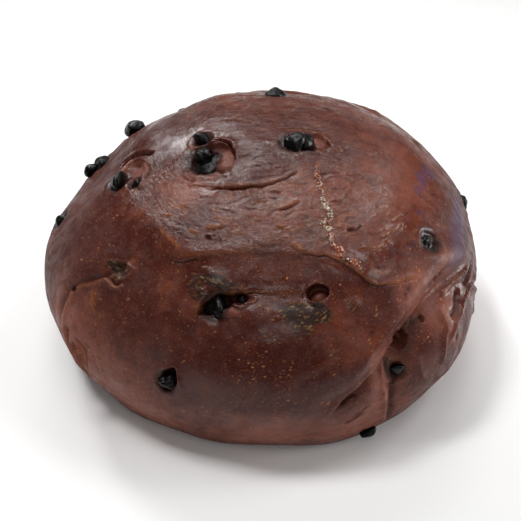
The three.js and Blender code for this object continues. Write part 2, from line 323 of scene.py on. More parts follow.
# %% Hollows and the crumb inside them
HOLLOWS = [  # place, length, breadth, depth, turn from level, share of the radius that the wall takes,
    # lip, crumb, and the side (degrees from uphill, clockwise) on which the floor runs out to the skin
    ((-78, 66.2), 15, 13.2, 1.8, 0, 0.16, 0.3, 0.6, None),
    ((97, 78.5), 12.8, 8.6, 1.6, -68, 0.2, 0.3, 0.9, None),
    ((-90, 39.5), 13, 8.4, 1.2, -12, 0.35, 0.25, 0.5, 170),
    ((14.5, 31.3), 5.9, 5, 4.4, 0, 0.12, 0.24, 0.6, None), ((-17, 27.6), 12, 4, 3.4, -36, 0.3, 0.2, 0.5, None),
    ((-10, 30.2), 7, 2.6, 1.7, -6, 0.5, 0.2, 1, None), ((-25.6, 5.4), 4.8, 8.6, 2.8, 18, 0.25, 0.3, 0.5, None),
    ((37.2, 12.4), 5.2, 6, 4, 20, 0.2, 0.3, 0.6, None), ((-54, -3.6), 5.4, 15.5, 2.2, -8, 0.4, 0.35, 0.6, 80),
    ((-52.5, 25), 9.5, 4.6, 1.3, -34, 0.5, 0.2, 0.2, 200), ((61, 28.5), 5, 8, 0.9, -14, 0.5, 0.12, 0.2, 0),
    ((-61.5, 13.6), 1.9, 2.4, 1.6, 20, 0.3, 0.2, 0.3, None),
    ((45.5, 14.6), 1.6, 2.2, 1.4, 10, 0.3, 0.2, 0.3, None), ((171, 9.5), 11, 5, 2.6, 20, 0.35, 0.4, 0.7, None),
    ((-150, 18), 10, 7.5, 2, 30, 0.3, 0.4, 0.7, 150), ((121, 3), 6.5, 8, 1.8, -20, 0.3, 0.3, 0.7, None),
    ((150, 12), 6.4, 5.8, 3.8, 0, 0.14, 0.3, 0.6, None),
]
DOMES = [  # crumb that bulges in a hollow: place, radii across and uphill, height, how much crumb shows
    ((-74, 69.8), 4.9, 3.5, 1.8, 0.9), ((104, 74.5), 2.9, 2.6, 1.2, 1), ((84, 72.2), 1.6, 1, 1.3, 0.5),
    ((-88, 42), 5, 2.8, 1.5, 0.8), ((-78, 43), 1.8, 1.5, 0.9, 0.3), ((14.5, 30.4), 2.6, 2.1, 2.5, 0.6),
    ((38.2, 12.4), 0.9, 2.2, 2.6, 0.8), ((-52.5, -1.2), 1.7, 3.4, 1.8, 0.5), ((-53.6, 1.4), 0.8, 1, 0.9, 1),
    ((-13, 26.4), 3.2, 1.3, 0.9, 0.9), ((150, 10.8), 2.7, 2.3, 2.2, 0.6), ((-153, 20), 2.4, 2, 1.2, 0.8),
]
print(len(HOLLOWS), "hollows and", len(DOMES), "bulges of crumb")

# %% Edges, slits and wrinkles
# A row has a path, groove depth and width, then as far as they differ from PLAIN: the lip on its left hand,
# how pale its edge is, how far its right hand drops, how far the lip hangs over, and how far both reach.
PLAIN = [0, 0, 0, 0, 0, 0, 1.5]
CREASES = [
    # The brow: soft on the left, crisp and hanging over on the right.
    ([(-46, 34), (-39.5, 36), (-33, 37.2), (-26, 40), (-19.5, 41.3), (-12, 43.5), (-4, 45.8), (2, 47.8), (6.5, 46),
      (11, 43.5)], 0.1, 0.9, 0.25, 0.25, 0.15, 0.2, 4),
    ([(6.5, 43.8), (11.5, 43), (19.5, 41.5), (23.5, 39.5), (26.5, 37), (29, 34), (31.5, 31), (37.5, 28),
      (45.5, 24.5)], 0.3, 0.55, 0.3, 0.4, 0.4, 0.9, 3.5),
    ([(30, 33), (33, 30), (37.5, 28.4), (45.5, 26), (52, 25)], 0.2, 0.4, 0.3, 0.6),
    ([(33, 34), (36.5, 31.5), (41, 30.4)], 0.2, 0.4, 0.25, 0.5),
    ([(-52, 40), (-46, 39.6), (-40, 39.2), (-37, 38.5)], 0.15, 0.35, 0.2, 0.9),
    ([(-38.5, 35), (-34.5, 35.4), (-31, 37.5), (-27.5, 38.6)], 0.4, 0.45, 0.35, 0.2, 0, 0.4),
    # The split over the long chip, its hairline and the edge below it.
    ([(-23.5, 22.5), (-22, 24.8), (-21, 27), (-18, 29.5), (-14.5, 31), (-9, 31.7),
      (-4, 32)], 1.1, 0.75, 0.35, 0.5, 0, 0.9, 2),
    ([(-8, 31.8), (-1.5, 32), (5.5, 32), (10.8, 31.6)], 0.36, 0.22, 0.1, 0.6, 0.1),
    # The wrinkle over the crown, and the ledge on the left.
    ([(-69, 50), (-54, 57.5), (-42, 61.5), (-28, 65.5), (-13.5, 67)], 0.15, 0.5, 0.2, 0.15),
    ([(-50, 58), (-41, 62), (-31.5, 65.6), (-21, 67.8), (-10.5, 69.6), (1, 71.4), (14, 72.9),
      (27, 73.4)], 1.9, 0.36, 0.45, 0.45, 0.25, 0.8, 1.8),
    ([(-50, 31), (-51.5, 28.5), (-53, 24.5), (-55.5, 21), (-59.5, 17.5), (-62, 14), (-63, 6.5),
      (-60, 0)], 0.5, 0.8, 0.35, 0.3, 0.2, 0.2, 2),
    ([(-48, 24), (-49.5, 22), (-52.5, 22), (-56, 21)], 0.5, 0.5, 0.5, 0.5, 0, 0.3),
    ([(-58, 16.2), (-55.5, 15.5), (-53, 13.5), (-50, 13), (-45, 16)], -0.2, 0.35, 0, 0.5),
    ([(-57, 19), (-54, 12), (-52.5, 6)], -0.18, 0.35, 0, 0.4),
    ([(-48.5, 6), (-47, 1.5), (-45.5, -2), (-45.5, -5), (-47, -10)], 0.3, 0.5, 0.2, 0.3),
    # The long slit low on the left.
    ([(-54.3, -14), (-55.5, -10), (-55.4, -6.5), (-56.8, -2), (-58.3, 2), (-59, 5)], 3.4, 0.85, 0.35, 0.5, 0, 0.6),
    ([(-52, -9), (-50.3, -1.5), (-50.8, 2.5), (-55, 4.5)], 0.6, 0.4, 0, 0.5),
    # The torn hollows on the upper left and on the crown.
    ([(-99, 33.2), (-102, 35), (-103.6, 37.6), (-103.2, 40.4), (-101.8, 43.2),
      (-100.6, 45)], 3.2, 0.5, 0.4, 0, 0, 0.9),
    ([(-91, 34.5), (-94.5, 35.5), (-98.5, 36.2), (-101.5, 38)], 0.6, 0.4, 0.3, 0.8, 0, 0.2),
    ([(-106, 65), (-105, 68), (-101, 71.4), (-89, 73.4), (-74, 74), (-58, 71.5)], 2, 0.36, 0.25, 0, 0, 0.5),
    ([(-64, 62.5), (-57, 64.5), (-55, 67.5), (-60, 70.5)], 0.5, 0.5, 0.2, 0.4),
    ([(166, 83), (140, 78.5), (120, 74), (106, 71.5), (92, 70.3)], 1.2, 0.32, 0.25, 0.6, 0, 0.5),
    # The front: a furrow under the split, and a faint oval on the right of it.
    ([(-21.5, 23), (-21.5, 18.5), (-22.5, 14.5), (-24.5, 10.5)], 0.3, 1.5),
    ([(6, 4), (6.8, 7), (8, 10.3), (11.5, 12), (14, 13.3), (17, 15.2),
      (19, 18)], 0.12, 0.45, 0.15, 0.15, 0.12, 0, 2),
    # The ridge on the right, its furrow, and the net of folds beside it.
    ([(15, -4), (18.5, 1.5), (21.5, 4.6), (26.5, 8), (31.5, 10.6), (36, 13.6), (45.5, 17.8),
      (54, 18.6)], 0.5, 0.6, 0.5, 0.2, 1.2, 0.5, 3.5),
    ([(20, 4), (24.5, 12.5), (28.5, 15.3), (37, 18.8), (42.5, 20.6), (49, 22.5), (61.5, 21.5),
      (80, 11)], -0.2, 0.9, 0, 0, 0.35, 0, 5),
    ([(35, -19), (33, -12), (31.2, -4), (30.4, 3), (31.4, 9.3), (33.6, 10.8)], -0.75, 1),
    ([(36.2, -19), (34.3, -11), (33, -4), (33.4, 1), (34.6, 7)], 1, 0.8),
    ([(54, 15.5), (51, 13.5), (50, 10.5), (47.5, 7), (46.5, 0)], -0.9, 0.9),
    ([(83.5, 5), (70, 10), (63, 10.5), (58, 9.5), (53, 8.5), (48.5, 5.5)], -1, 0.8),
    ([(71.5, 15), (64.5, 15.5), (59.5, 16), (54, 15.5)], -0.7, 0.8),
    ([(62, 14), (57, 11.6), (53, 10.6)], 1.3, 1),
    ([(64, 9), (59, 7.2), (55.5, 6.4), (52, 3)], 1.2, 0.8),
    ([(76, 12.6), (69, 13), (63.5, 13.2)], 1, 0.8),
    ([(62, 22), (57, 21), (52.5, 20), (49.5, 20.4)], 0.6, 0.7, 0.3),
    ([(42.5, -3), (40, 4.5), (39.6, 8.5)], -0.5, 0.9),
    ([(44, -2), (47, -5), (52, -6), (60, -5)], 0.5, 0.7, 0.3),
    ([(84, -4), (77, 3), (70, 7)], 0.8, 0.9, 0.4, 0, 0, 0.2),
    # Short splits low on the front, and one around a chip under the skin.
    ([(17.5, 0), (20, 1.4), (23, 3.5)], 0.9, 0.5, 0.25),
    ([(20.5, -8), (22.5, -6.2), (25.5, -3.2)], 0.9, 0.55, 0.25),
    ([(22.3, -4.6), (24, -3), (26.4, -1.4)], 0.5, 0.4, 0.2),
    ([(32.5, 44.5), (31.2, 48), (34, 50.2), (38, 50), (42, 48)], -0.35, 0.5, 0, 0.5),
    ([(41, 45.8), (37, 45.2), (32.5, 46.8)], 0.5, 0.5, 0.3),
    # Small folds of the thin skin on the upper front, orange where they stand up.
    ([(-56, 46), (-52.5, 48.3), (-48.5, 50)], 0.3, 0.45, 0.3, 1, 0, 0.2),
    ([(-55.5, 43), (-52.5, 44), (-50.5, 45.2)], 0.3, 0.4, 0.3, 0.8, 0, 0.2),
    ([(-33, 46.3), (-29.5, 47.6), (-24.5, 49.6)], 0.5, 0.55, 0.4, 1, 0, 0.4),
    ([(-39, 43.5), (-36.5, 44.3), (-34, 44.5)], 0.3, 0.4, 0.3, 1, 0, 0.2),
    ([(0.5, 58.3), (6, 58.8), (10.5, 59.5), (17, 60)], 0.5, 0.45, 0.3, 0.7, 0, 0.3),
    ([(-1, 51.7), (3.5, 50.8), (7.5, 50)], 0.45, 0.5, 0.4, 1, 0, 0.4),
    ([(5.5, 45.8), (8, 44.6), (10.8, 43.8)], 0.45, 0.6, 0.4, 1, 0, 0.4),
    ([(-31, 45), (-27.5, 44.8)], 0.9, 0.35),
    ([(27, 48), (34.5, 46), (41.5, 45.5)], 0.35, 0.45, 0.25, 0.3),
    ([(40, 43.2), (44.5, 41.5), (49.5, 41)], 0.4, 0.36, 0.18, 0.4, 0, 0.2),
    ([(33, 56), (39, 55.3), (47, 56)], 0.35, 0.55, 0.25, 0.3),
    ([(37.5, 38.2), (41.5, 37.7), (45.5, 37.7)], 0.35, 0.34, 0.2, 0.8, 0, 0.3),
    ([(31.5, 40), (36.5, 38.8), (41, 38.2)], 0.35, 0.34, 0.18, 0.5, 0, 0.2),
    ([(43.5, 40), (51, 38.8), (58, 38.5)], 0.3, 0.34, 0.14, 0.6),
    ([(53, 41), (61, 40.3)], 0.3, 0.34, 0.14, 0.6),
    ([(50.5, 46), (60, 44.8)], 0.3, 0.4, 0.25, 0.5),
    ([(41, 57), (51, 55.8)], 0.3, 0.4, 0.25, 0.4),
    ([(-34, 50.5), (-29, 51), (-24, 50.6)], 0.2, 0.4, 0.2, 0.5),
    ([(-22, 47), (-17.5, 48), (-13.5, 47.6)], 0.2, 0.4, 0.2, 0.5),
    # The back and the sides.
    ([(124, 33), (142, 26), (158, 27), (172, 30), (-172, 34)], 0.4, 0.9, 0.45, 0.4, 0.5, 0.6, 3.5),
    ([(-164, 34), (-150, 31), (-137, 22), (-129, 10), (-117, -10)], 0.45, 1.6, 0.35, 0, 0, 0.2, 2),
    ([(118, -4), (128, 8), (144, 12), (160, 7)], 0.6, 1.4, 0.4, 0, 0, 0.3, 2),
    ([(-142, 34), (-128, 31), (-116, 33)], 0.6, 0.7, 0.4, 0.5, 0, 0.4, 2),
    ([(150, 53), (168, 50), (-176, 52)], 0.6, 0.7, 0.4, 0.5, 0, 0.4, 2),
]


def scattered_wrinkles(count, bearings, heights, seed, rise=0.0):
    """Short wrinkles that follow the bun round, at seeded places."""
    rng = np.random.default_rng(seed)
    wrinkles = []
    for _ in range(count):
        bearing, height = rng.uniform(*bearings), rng.uniform(*heights)
        half = math.degrees(rng.uniform(0.7, 2.6) / (WIDTH * 0.48 * math.cos(math.radians(height))))
        slope, bend = rise + rng.uniform(-0.8, 0.8), rng.uniform(-0.5, 0.5)
        path = [(bearing - half, height - slope), (bearing, height + bend), (bearing + half, height + slope)]
        wrinkles.append((path, rng.uniform(0.1, 0.25), rng.uniform(0.3, 0.5), rng.uniform(0.06, 0.18),
                         rng.choice([0, 0.2, 0.5]), 0, 0.15))
    return wrinkles


CREASES += scattered_wrinkles(30, (-50, 26), (46, 68), seed=5)
CREASES += scattered_wrinkles(20, (26, 70), (34, 66), seed=9, rise=1.0)
CREASES += scattered_wrinkles(20, (110, 250), (28, 60), seed=6)
CREASES += scattered_wrinkles(8, (42, 80), (-10, 18), seed=7, rise=2)
hollow_stations = [(station(*place), *sizes) for place, *sizes in HOLLOWS]
crease_paths = [(smooth_path(skin(direction(*zip(*path))), 14), *sizes, *PLAIN[len(sizes):])
                for path, *sizes in CREASES]
print(len(CREASES), "edges, slits and wrinkles")

# %% Where chocolate lies under the skin, and how the skin is coloured
PATCHES = [  # place, half-sizes across and uphill, how dark, how far it lifts the skin
    ((-1.5, 30.3), 4.5, 1.3, 0.55, 0.1), ((4, 28.2), 4.6, 2.2, 0.7, 0.1), ((8, 27), 5.6, 3.6, 1.1, 0.2),
    ((13.5, 26.4), 3.6, 3, 1.3, 0.4), ((9.5, 23), 4.6, 2.6, 0.6, 0.05), ((25, 26.8), 2.6, 2.3, 0.6, 0.7),
    ((-24.5, 30), 3.2, 3.4, 0.75, 0.12), ((-19.5, 33.6), 5.6, 2.2, 1, 0.12), ((-14, 33.4), 4.6, 1.2, 0.6, 0.1),
    ((-24, 36), 3.6, 0.9, 0.6, 0.2), ((12, -14.5), 3.2, 2.2, 0.65, 0.3), ((16.5, 16), 2.6, 1.8, 0.5, 0.2),
    ((-78, 26), 3.4, 3.4, 0.35, 0.3), ((-52.8, 25), 4.4, 2, 0.9, 0.2), ((33.2, 5.2), 1.8, 4.4, 0.95, 0.7),
    ((43, 15.3), 3, 1.6, 0.8, 0.3), ((61.2, 29), 2.2, 3.8, 0.95, 0.1), ((114, 31.5), 3.4, 2, 0.85, 0.4),
    ((157, 35), 2.4, 2, 0.8, 0.4), ((-93, 12.5), 2, 4.5, 0.95, 0.5), ((-45.6, 3.4), 1.7, 1.5, 0.5, 0.2),
    ((-31, -2), 2, 1.8, 0.3, 0.1), ((-14, 61), 8, 3, 0.55, 0.1), ((-82, 62.3), 4.4, 3.4, 1.3, 0),
    ((84, 83.5), 3.4, 3.4, 0.9, 0.1), ((2, 36.5), 2.2, 1.2, 0.5, 0.2), ((18, 50), 3.4, 5.4, 0.55, 0.1),
    ((-135, 20), 4, 3, 0.8, 0.6), ((-172, 6), 5, 3.4, 0.8, 0.4), ((160, 42), 3.6, 3, 0.6, 0.4),
    ((128, 2), 3, 4, 0.8, 0.6), ((-118, 8), 3, 3, 0.7, 0.5), ((95, -6), 2.6, 2.2, 0.6, 0.4),
]
TONES_AND_PAINTED_LIGHT = [  # place, reach, and how much lighter and browner the skin is there: partly its baked colour, partly painted highlights on the top and the upper left and a painted pale reflection along the right ridge
    ((0, 80), 18, -0.5), ((0, 58), 17, 0.45), ((3, 10), 13, -0.5), ((-62, 54), 9, 0.7), ((50, 54), 14, 0.45),
    ((15, 70), 10, 0.4), ((-60, 2), 12, 1.1), ((-44, -4), 14, 0.8), ((-32, -14), 10, 0.8), ((0, -15), 14, 0.9),
    ((5, -5), 10, 0.3), ((80, 42), 12, 0.5), ((86, 18), 10, -0.5), ((-110, 40), 12, -0.4), ((27, -11), 10, 1.2),
    ((21, 18), 9, 0.45), ((33, 3), 6, 0.8), ((30, 12), 5, 0.5), ((46, 21), 6, 1.4), ((52, 13), 7, 0.8),
    ((60, 21), 6, 0.6), ((-30, 24), 10, 0.15), ((-120, -10), 30, 0.4), ((150, -12), 30, 0.4),
    ((90, -12), 20, 0.3), ((-165, 40), 24, 0.35), ((120, 40), 20, 0.3),
]
CHIPS = [  # where, how far the flat side stands out, lean of the tip, the way it leans, size
    ((179, 45), -1.6, 12, 0, 0.92), ((-107, 61.5), -1.9, 76, 300, 0.78), ((-89, 62.8), -2.2, 50, 40, 0.82),
    ((-83.5, 62.4), -1.8, 170, 0, 1.5), ((85.6, 84.4), -2.2, 60, 350, 1.1), ((85.5, 80), -1.8, 74, 245, 0.85),
    ((-126, 27), -0.8, 74, 60, 0.9), ((-110, 18), -0.9, 30, 270, 0.8), ((-111.3, 21.5), -1.8, 50, 60, 0.8),
    ((-88, 35), -2.0, 76, 192, 0.95), ((-82, 40.5), -3.0, 70, 190, 0.6), ((-92, 13), -3.6, 74, 20, 0.95),
    ((-17.5, 27), -3.9, 80, 246, 1.1), ((-10.5, 30.2), -3.6, 60, 250, 0.5), ((-26, 4.4), -3.7, 78, 12, 0.86),
    ((61, 29.5), -4.8, 66, 170, 0.95), ((101, 12), -2.8, 30, 0, 0.8), ((71, -1), -2.6, 30, 150, 0.7),
    ((35, 4.6), -3.0, 74, 186, 0.65), ((30, -18), -1.5, 60, 150, 0.64), ((148, -8), -1.8, 50, 80, 1.0),
    ((-170, 22), -2.2, 30, 200, 0.9), ((-150, 18), -2.2, 60, 120, 0.95), ((172, 9), -2.4, 60, 240, 1.0),
    ((133, -4), -1.8, 50, 30, 0.85), ((121, 2), -2.2, 66, 320, 0.95), ((-140, 2), -2.0, 60, 100, 0.9),
    ((-163, -8), -2.4, 70, 70, 0.9), ((112, -10), -2.2, 40, 210, 0.75),
]
PAINTED_BLUE_REFLECTIONS = [  # a painted violet-blue reflection of a blue light beside the right flank: place, half-sizes across and uphill, how strong
    ((79, 21), 19, 4.4, 1), ((88, 36.8), 4.4, 2.4, 1), ((95, 33.6), 3.4, 2.4, 0.9), ((79.5, 38.4), 2.4, 1.7, 1),
    ((103, 21.5), 2.6, 2, 0.7), ((67, 36.5), 2.8, 0.8, 0.6), ((54, 33), 4, 0.7, 0.5),
]
print(len(PATCHES), "dark patches,", len(TONES_AND_PAINTED_LIGHT), "tones and", len(CHIPS), "chips")

# %% Finer faces near the holes and edges
def near_features(points, margin, crease_margin, least_depth):
    """Which points lie near a hollow or near an edge that is at least so deep."""
    near = np.zeros(len(points), bool)
    for (origin, *_), length, breadth, *_ in hollow_stations:
        near |= np.linalg.norm(points - origin, axis=1) < max(length, breadth) / 2 + margin
    for path, groove, width, _, _, drop, *_ in crease_paths:
        if max(abs(groove), drop) >= least_depth:
            near |= near_path(points, path, crease_margin + 1)[0] < width + crease_margin
    return near


def face_centres(piece):
    flat = np.empty(len(piece.data.polygons) * 3)
    piece.data.polygons.foreach_get("center", flat)
    return flat.reshape(-1, 3)


def upper_front(points):
    """Where fine wrinkles cover the skin."""
    bearing = np.degrees(np.arctan2(points[:, 0], -points[:, 1]))
    height = np.degrees(np.arctan2(points[:, 2] - BELLY_HEIGHT, np.hypot(points[:, 0], points[:, 1])))
    return smoothstep(height, 38, 48) * smoothstep(np.cos(np.radians(bearing - 5)), -0.45, 0.2)


centres = skin(bun_direction(face_centres(crust)))
subdivide_faces(crust, near_features(centres, 1.0, 0.9, 0.3) | (upper_front(centres) > 0.5))
print("after the first round:", len(crust.data.polygons), "faces")
centres = skin(bun_direction(face_centres(crust)))
subdivide_faces(crust, near_features(centres, 0.0, 0.0, 0.5) & (centres[:, 1] < 30))
print("after the second round:", len(crust.data.polygons), "faces")

# %% [markdown]
# ## The fine skin
# First the mesh takes the big form, and Blender's own vertex normals tell which way is out. The fine
# relief is then added along those normals: a hollow has a steep wall, a raised lip and crumb bulging
# inside, an edge has a lip that hangs over it, and the skin between has slow lumps, blisters and fine
# wrinkles that run round the bun. What the shader needs to know, such as where chocolate shows
# through, is kept on the mesh as attributes.

# %% Big form and normals
units = bun_direction(vertices_of(crust))
big = skin(units)
move_vertices(crust, big)
normals = np.empty(len(crust.data.vertices) * 3)
crust.data.vertex_normals.foreach_get("vector", normals)
normals = normals.reshape(-1, 3)
bearings = np.degrees(np.arctan2(units[:, 0], -units[:, 1]))
heights = np.degrees(np.arcsin(units[:, 2]))
off_base = smoothstep(big[:, 2], 0.5, 5.0)
print("normals point out:", bool(np.median(np.sum(normals * (big - CENTRE), axis=1)) > 0))


def grain(points, size, seed):
    """Smooth noise from -1 to 1, whose lumps measure about size millimetres."""
    scaled = points / np.asarray(size) + seed * 17.31
    return np.array([noise.noise(p) for p in scaled.tolist()])


# Coordinates that run round the bun and up its slope, sheared where the wrinkles climb to the right. Near
# the crown they run straight across, because bearings crowd together there.
ROUND_RADIUS = 55.0
climb = 0.4 * np.maximum(bearings - 10, 0) * (np.abs(bearings) < 75)
ahead = np.degrees(np.arctan2(units[:, 2], -units[:, 1]))
level = smoothstep(heights, 38, 58)
around = ROUND_RADIUS * (1 - level)
round_skin = np.column_stack([np.cos(np.radians(bearings)) * around,
                              np.sin(np.radians(bearings)) * around + big[:, 0] * level,
                              np.radians((heights - climb) * (1 - level) + ahead * level) * ROUND_RADIUS])

# %% Slow lumps, blisters and fine wrinkles
def near_place(place, reach):
    return bell(np.linalg.norm(big - station(*place)[0], axis=1), reach)


wrinkled = np.clip(upper_front(big) + 0.35 * near_place((62, 8), 14) + 0.4 * near_place((26, -2), 12)
                   + 0.5 * smoothstep(heights, 20, 40) * smoothstep(-np.cos(np.radians(bearings)), 0.2, 0.7),
                   0, 1) * (1 - 0.85 * near_place((-50, 59), 8))
lumps = 0.34 * grain(big, 15, 1) + 0.16 * grain(big, 7, 2) + 0.06 * grain(big, 3, 3)
sharp_folds = np.clip(1 - np.abs(grain(round_skin, (6.5, 6.5, 3.0), 4)) * 3.2, 0, 1) ** 2
fold_places = smoothstep(grain(round_skin, (12, 12, 6), 5), -0.2, 0.25)
fine_folds = np.clip(1 - np.abs(grain(round_skin, (3.4, 3.4, 1.7), 14)) * 2.6, 0, 1)
fine_places = smoothstep(grain(round_skin, (9, 9, 5), 15), -0.1, 0.3)
ripples = grain(round_skin, (2.6, 2.6, 1.4), 6)
fine_folds *= (1 - 0.7 * fold_places) * fine_places
fine = lumps + wrinkled * (-0.5 * sharp_folds * fold_places - 0.26 * fine_folds + 0.14 * ripples)
fine += (1 - wrinkled) * 0.05 * grain(big, 1.7, 16)
move = normals * (fine * off_base)[:, None]
print("fine relief from", fine.min().round(2), "to", fine.max().round(2), "mm")

# %% Patches, hollows, crumb and chip seats
stain, inner, seat, painted_blue_reflection = np.zeros((4, len(big)))
uneven = grain(big, 2.6, 20)
rough_edge = grain(big, 1.1, 21)


def local(axes):
    """Distances across, uphill and outward from a place."""
    from_origin = big - axes[0]
    return from_origin @ axes[3], from_origin @ axes[2], from_origin @ axes[1]


def oval(axes, across, uphill, turn=0, ragged=0.0, fringe=0.0):
    """How far out each point lies in an oval on the skin: 0 in the middle, 1 at its rim, FAR elsewhere."""
    u, v, w = local(axes)
    cosine, sine = math.cos(math.radians(turn)), math.sin(math.radians(turn))
    share = np.hypot((u * cosine - v * sine) / across, (u * sine + v * cosine) / uphill)
    return np.where(np.abs(w) < FAR, share * (1 + ragged * uneven + fringe * rough_edge), FAR)


FAR = 9.0
for place, across, uphill, dark, lift in PATCHES:
    share = oval(station(*place), across, uphill, 0, 0.4, 0.25)
    stain = np.maximum(stain, dark * (1 - smoothstep(share, 0.5, 1.3)))
    move += normals * (lift * (1 - smoothstep(share, 0.1, 1.1)))[:, None]

# Painted reflection: a violet-blue patch of reflected light on the right flank, laid into the skin's colour.
for place, across, uphill, strength in PAINTED_BLUE_REFLECTIONS:
    painted_blue_reflection = np.maximum(painted_blue_reflection, strength * (1 - smoothstep(oval(station(*place), across, uphill), 0.6, 1.25)))

for axes, length, breadth, deep, turn, wall, lip, crumb, shut in hollow_stations:
    share = oval(axes, length / 2, breadth / 2, turn, 0.12, 0.06)
    open_side = 1.0
    if shut is not None:
        u, v, _ = local(axes)
        way = np.arctan2(u, v) - math.radians(shut)
        open_side = 1 - smoothstep(np.cos(way), -0.5, 0.9) * smoothstep(share, 0.0, 0.6)
    depth = deep * (1 - smoothstep(share, 1 - wall, 1.0)) * open_side
    move += axes[1] * (lip * bell(share - 1.1, 0.12) * open_side - depth)[:, None]
    inner = np.maximum(inner, crumb * (1 - smoothstep(share, 0.86, 1.0)) * open_side)

for place, across, uphill, height, crumb in DOMES:
    axes = station(*place)
    share = oval(axes, across, uphill, 0, 0.1)
    move += axes[1] * (height * np.sqrt(np.clip(1 - share ** 2, 0, 1)))[:, None]
    inner = np.maximum(inner, crumb * (1 - smoothstep(share, 0.8, 1.05)))

for place, *_, size in CHIPS:
    share = oval(station(*place), size * CHIP_WIDTH / 2, size * CHIP_WIDTH / 2, 0, 0.15)
    move += normals * (0.25 * bell(share - 1.35, 0.25) - 0.5 * (1 - smoothstep(share, 0.7, 1.15)))[:, None]
    seat = np.maximum(seat, 1 - smoothstep(share, 0.8, 1.5))
print("darkest stain", stain.max().round(2), "and crumb on", int((inner > 0.5).sum()), "vertices")

# %% Edges, slits and wrinkles of the skin
edge, painted_crease_shade = np.zeros((2, len(big)))
for path, groove, width, lip, pale, drop, hang, reach in crease_paths:
    limit = 3 * max(width, reach if drop or hang else 0)
    distance, side, along, left = near_path(big, path, limit)
    close = distance < limit
    distance, along, left = distance[close], along[close], left[close]
    # A torn edge wanders, so the signed distance to it is shifted by noise.
    signed = distance * side[close] + (0.25 * width + 0.25) * uneven[close] + 0.2 * width * rough_edge[close]
    ends = taper(along, 0.2)
    height = lip * bell(signed - 1.7 * width, 1.2 * width) - groove * bell(signed, width)
    height -= drop * smoothstep(-signed, 0, 0.9 * width) * bell(signed, reach)
    pull = hang * smoothstep(signed, -0.3 * width, 0.7 * width) * bell(signed, 0.6 * reach)
    move[close] += normals[close] * (ends * height)[:, None] - left * (ends * pull)[:, None]
    edge[close] = np.maximum(edge[close], pale * ends * bell(signed - 1.0 * width, 1.1 * width))
    # Painted shade: the deeper the groove or drop, the darker the colour laid into it, near-black in the deepest
    # slits.
    dark = (0.6 * smoothstep(max(groove, drop), 0.1, 0.7) + 0.5 * (groove > 1.6)) * ends
    painted_crease_shade[close] = np.maximum(painted_crease_shade[close], dark * bell(signed + 0.3 * width, 1.2 * width))

finished = big + move
finished[:, 2] = np.maximum(finished[:, 2], 0)
print("the skin spans", finished.min(0).round(1), "to", finished.max(0).round(1))

# %% Colour attributes and the finished crust
# The tones are partly the skin's baked colour and partly painted light: highlights on the top and upper left, and
# a pale reflection along the ridge.
tone_and_painted_light = np.full(len(big), 0.1)
for place, reach, amount in TONES_AND_PAINTED_LIGHT:
    tone_and_painted_light += amount * near_place(place, reach)
glaze = np.clip(smoothstep(heights, 22, 40) + near_place((0, 18), 32) + near_place((62, 10), 12), 0, 1)
tone_and_painted_light = np.clip(tone_and_painted_light + 0.12 * grain(big, 9, 30) + 0.08 * grain(big, 4, 31), 0, 1.2)
move_vertices(crust, finished * MM)
kept = dict(stain=stain, inner=inner, wrinkled=wrinkled, tone_and_painted_light=tone_and_painted_light, seat=seat, edge=edge, painted_crease_shade=painted_crease_shade, glaze=glaze,
            painted_blue_reflection=painted_blue_reflection)
for name, values in kept.items():
    attribute = crust.data.attributes.new(name, "FLOAT", "POINT")
    attribute.data.foreach_set("value", values.astype(np.float32))
attribute = crust.data.attributes.new("round_skin", "FLOAT_VECTOR", "POINT")
attribute.data.foreach_set("vector", (round_skin * MM).astype(np.float32).ravel())
only(crust)
bpy.ops.object.shade_smooth()
triangles = sum(len(face.vertices) - 2 for face in crust.data.polygons)
print("the crust has", triangles, "triangles")

# %% [markdown]
# ## Chips
# Baking drops keep their shape in the oven, but they soften: the tip slumps, the flat side bulges and
# the surface turns rough. One drop is modelled from a ball, flattened below and drawn up to a tip,
# and each copy is stretched and dented, leaned as it lies in the dough, and joined to the rest.

# %% One drop
deselect_all()
bpy.ops.mesh.primitive_uv_sphere_add(segments=36, ring_count=24, radius=0.5)
chip = bpy.context.object
shape = vertices_of(chip)
rise = shape[:, 2] + 0.5
shape[:, 2] = np.where(shape[:, 2] < 0, shape[:, 2] * 0.5, shape[:, 2] * 1.12) + 0.22
shape[:, :2] *= (1 - 0.34 * smoothstep(rise, 0.55, 1.0))[:, None]
move_vertices(chip, shape * np.array([1, 1, 1.2]))
drop_points = vertices_of(chip).copy()
only(chip)
bpy.ops.object.mode_set(mode="EDIT")
bpy.ops.mesh.select_all(action="SELECT")
bpy.ops.mesh.normals_make_consistent(inside=False)
bpy.ops.object.mode_set(mode="OBJECT")
print("one drop has", len(chip.data.vertices), "vertices")

# %% Every drop in its place
def drop_placing(at, out, tip, toward, size):
    """The same placing as the solid's chips."""
    origin, outward, uphill, across = station(*at)
    tip, toward = math.radians(tip), math.radians(toward)
    leaning = uphill * math.cos(toward) + across * math.sin(toward)
    axis = outward * math.cos(tip) + leaning * math.sin(tip)
    lift = 0.4 * CHIP_HEIGHT * math.sin(tip)
    foot = origin + outward * (out + lift) - axis * lift * size
    turn = Vector((0, 0, 1)).rotation_difference(Vector(axis))
    return foot, np.array(turn.to_matrix())


